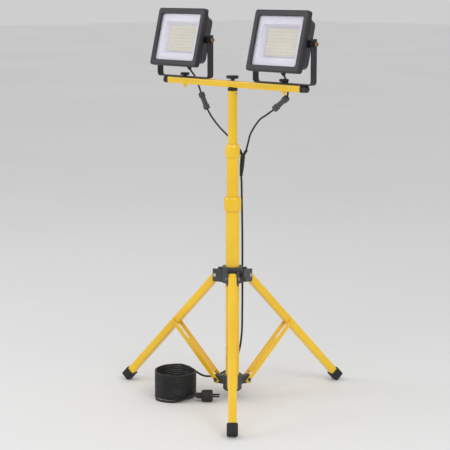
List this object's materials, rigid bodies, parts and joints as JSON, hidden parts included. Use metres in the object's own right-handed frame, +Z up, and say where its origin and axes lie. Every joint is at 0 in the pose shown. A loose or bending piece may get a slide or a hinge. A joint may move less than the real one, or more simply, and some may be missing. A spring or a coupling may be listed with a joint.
{
  "type": "twin-head work light on a telescopic tripod",
  "caption": "Twin-head LED work light with tilting lamps on a crossbar, carried by a yellow telescopic folding tripod, with a coiled power cord.",
  "frame": {"origin": "centre of the base of the bounding box, on the floor", "axes": "+Z up, +X along the crossbar, lamps face -Y"},
  "size_m": [0.6534, 0.6162, 1.0662],
  "materials": {
    "yellow_paint": "gloss",
    "black_plastic": "satin",
    "grey_plastic": "satin",
    "lamp_paint": "powder coat",
    "clear_glass": "polished",
    "white_plastic": "gloss",
    "led_board": "satin",
    "black_rubber": "matte",
    "bright_steel": "satin",
    "cord_rubber": "satin"
  },
  "bodies": {
    "base": {"mast_tube_lower": "yellow_paint", "mast_base_bracket": "grey_plastic", "cord_main": "cord_rubber", "cord_coil": "cord_rubber", "cord_tail": "cord_rubber", "power_plug": "cord_rubber"},
    "hub": {"hub_collar": "grey_plastic", "hub_pin_a": "bright_steel", "hub_pin_b": "bright_steel", "hub_pin_c": "bright_steel"},
    "hub_knob": {"hub_clamp_knob": "grey_plastic"},
    "lower_collar": {"lower_lock_collar": "yellow_paint"},
    "upper_collar": {"upper_lock_collar": "yellow_paint"},
    "mast_middle": {"mast_tube_middle": "yellow_paint"},
    "mast_upper": {"mast_tube_upper": "yellow_paint", "mast_head": "black_plastic"},
    "crossbar": {"crossbar_tube": "yellow_paint", "crossbar_cap_l": "black_plastic", "crossbar_cap_r": "black_plastic", "cord_splitter": "cord_rubber", "lead_upper_l": "cord_rubber", "lead_lower_l": "cord_rubber", "connector_l": "grey_plastic", "lead_upper_r": "cord_rubber", "lead_lower_r": "cord_rubber", "connector_r": "grey_plastic"},
    "bar_knob": {"crossbar_knob": "black_plastic"},
    "leg_a": {"leg_tube_a": "yellow_paint", "leg_cap_a": "black_plastic", "foot_a": "black_rubber"},
    "strut_body_a": {"strut_a": "yellow_paint"},
    "leg_b": {"leg_tube_b": "yellow_paint", "leg_cap_b": "black_plastic", "foot_b": "black_rubber"},
    "strut_body_b": {"strut_b": "yellow_paint"},
    "leg_c": {"leg_tube_c": "yellow_paint", "leg_cap_c": "black_plastic", "foot_c": "black_rubber"},
    "strut_body_c": {"strut_c": "yellow_paint"},
    "yoke_body_l": {"yoke_l": "lamp_paint"},
    "pan_knob_l": {"yoke_knob_l": "black_plastic"},
    "lamp_l": {"bezel_l": "lamp_paint", "glass_l": "clear_glass", "reflector_l": "white_plastic", "led_board_l": "led_board", "housing_l": "lamp_paint", "gland_l": "black_plastic", "tilt_bolt_outer_l": "black_plastic", "tilt_bolt_inner_l": "black_plastic"},
    "yoke_body_r": {"yoke_r": "lamp_paint"},
    "pan_knob_r": {"yoke_knob_r": "black_plastic"},
    "lamp_r": {"bezel_r": "lamp_paint", "glass_r": "clear_glass", "reflector_r": "white_plastic", "led_board_r": "led_board", "housing_r": "lamp_paint", "gland_r": "black_plastic", "tilt_bolt_outer_r": "black_plastic", "tilt_bolt_inner_r": "black_plastic"}
  },
  "joints": [
    {"name": "hub_slide", "type": "slide", "parent": "base", "child": "hub", "axis": [0, 0, 1], "range_m": [0, 0.0974]},
    {"name": "leg_fold_a", "type": "hinge", "parent": "hub", "child": "leg_a", "pos_m": [0.05862, -0.07903, 0.34489], "axis": [0.6947, 0.7193, 0], "range_deg": [0, 31]},
    {"name": "strut_fold_a", "type": "hinge", "parent": "base", "child": "strut_body_a", "pos_m": [0.05862, -0.07903, 0.04689], "axis": [-0.6947, -0.7193, 0], "range_deg": [0, 31]},
    {"name": "leg_fold_b", "type": "hinge", "parent": "hub", "child": "leg_b", "pos_m": [0.03666, -0.00244, 0.34489], "axis": [-0.9703, 0.2419, 0], "range_deg": [0, 31]},
    {"name": "strut_fold_b", "type": "hinge", "parent": "base", "child": "strut_body_b", "pos_m": [0.03666, -0.00244, 0.04689], "axis": [0.9703, -0.2419, 0], "range_deg": [0, 31]},
    {"name": "leg_fold_c", "type": "hinge", "parent": "hub", "child": "leg_c", "pos_m": [-0.01869, -0.05976, 0.34489], "axis": [0.2756, -0.9613, 0], "range_deg": [0, 31]},
    {"name": "strut_fold_c", "type": "hinge", "parent": "base", "child": "strut_body_c", "pos_m": [-0.01869, -0.05976, 0.04689], "axis": [-0.2756, 0.9613, 0], "range_deg": [0, 31]},
    {"name": "hub_knob_turn", "type": "hinge", "parent": "hub", "child": "hub_knob", "pos_m": [0.05437, -0.03881, 0.34989], "axis": [0.9613, 0.2756, 0], "range_deg": [-180, 180]},
    {"name": "lower_collar_turn", "type": "hinge", "parent": "base", "child": "lower_collar", "pos_m": [0.02553, -0.04708, 0.54489], "axis": [0, 0, 1], "range_deg": [0, 90]},
    {"name": "mast_middle_slide", "type": "slide", "parent": "base", "child": "mast_middle", "axis": [0, 0, 1], "range_m": [-0.08, 0.25], "deforming": ["cord_main"]},
    {"name": "upper_collar_turn", "type": "hinge", "parent": "mast_middle", "child": "upper_collar", "pos_m": [0.02553, -0.04708, 0.68989], "axis": [0, 0, 1], "range_deg": [0, 90]},
    {"name": "mast_upper_slide", "type": "slide", "parent": "mast_middle", "child": "mast_upper", "axis": [0, 0, 1], "range_m": [-0.05, 0.25]},
    {"name": "crossbar_swivel", "type": "hinge", "parent": "mast_upper", "child": "crossbar", "pos_m": [0.02553, -0.04708, 0.86789], "axis": [0, 0, 1], "range_deg": [-90, 90]},
    {"name": "crossbar_knob_turn", "type": "hinge", "parent": "crossbar", "child": "bar_knob", "pos_m": [0.02553, -0.04708, 0.87989], "axis": [0, 0, 1], "range_deg": [-180, 180]},
    {"name": "lamp_pan_l", "type": "hinge", "parent": "crossbar", "child": "yoke_body_l", "pos_m": [-0.16447, -0.04708, 0.87789], "axis": [0, 0, 1], "range_deg": [-20, 20], "deforming": ["lead_upper_l"]},
    {"name": "pan_knob_turn_l", "type": "hinge", "parent": "yoke_body_l", "child": "pan_knob_l", "pos_m": [-0.16447, -0.04708, 0.88489], "axis": [0, 0, 1], "range_deg": [-180, 180]},
    {"name": "lamp_tilt_l", "type": "hinge", "parent": "yoke_body_l", "child": "lamp_l", "pos_m": [-0.16447, -0.04708, 0.98189], "axis": [1, 0, 0], "range_deg": [-50, 60]},
    {"name": "lamp_pan_r", "type": "hinge", "parent": "crossbar", "child": "yoke_body_r", "pos_m": [0.21553, -0.04708, 0.87789], "axis": [0, 0, 1], "range_deg": [-20, 20], "deforming": ["lead_upper_r"]},
    {"name": "pan_knob_turn_r", "type": "hinge", "parent": "yoke_body_r", "child": "pan_knob_r", "pos_m": [0.21553, -0.04708, 0.88489], "axis": [0, 0, 1], "range_deg": [-180, 180]},
    {"name": "lamp_tilt_r", "type": "hinge", "parent": "yoke_body_r", "child": "lamp_r", "pos_m": [0.21553, -0.04708, 0.98189], "axis": [1, 0, 0], "range_deg": [-50, 60]}
  ],
  "couplings": [
    {"joint": "leg_fold_a", "follows": "hub_slide", "rad_per_m": 5.4653},
    {"joint": "strut_fold_a", "follows": "hub_slide", "rad_per_m": 5.4653},
    {"joint": "leg_fold_b", "follows": "hub_slide", "rad_per_m": 5.4653},
    {"joint": "strut_fold_b", "follows": "hub_slide", "rad_per_m": 5.4653},
    {"joint": "leg_fold_c", "follows": "hub_slide", "rad_per_m": 5.4653},
    {"joint": "strut_fold_c", "follows": "hub_slide", "rad_per_m": 5.4653}
  ]
}
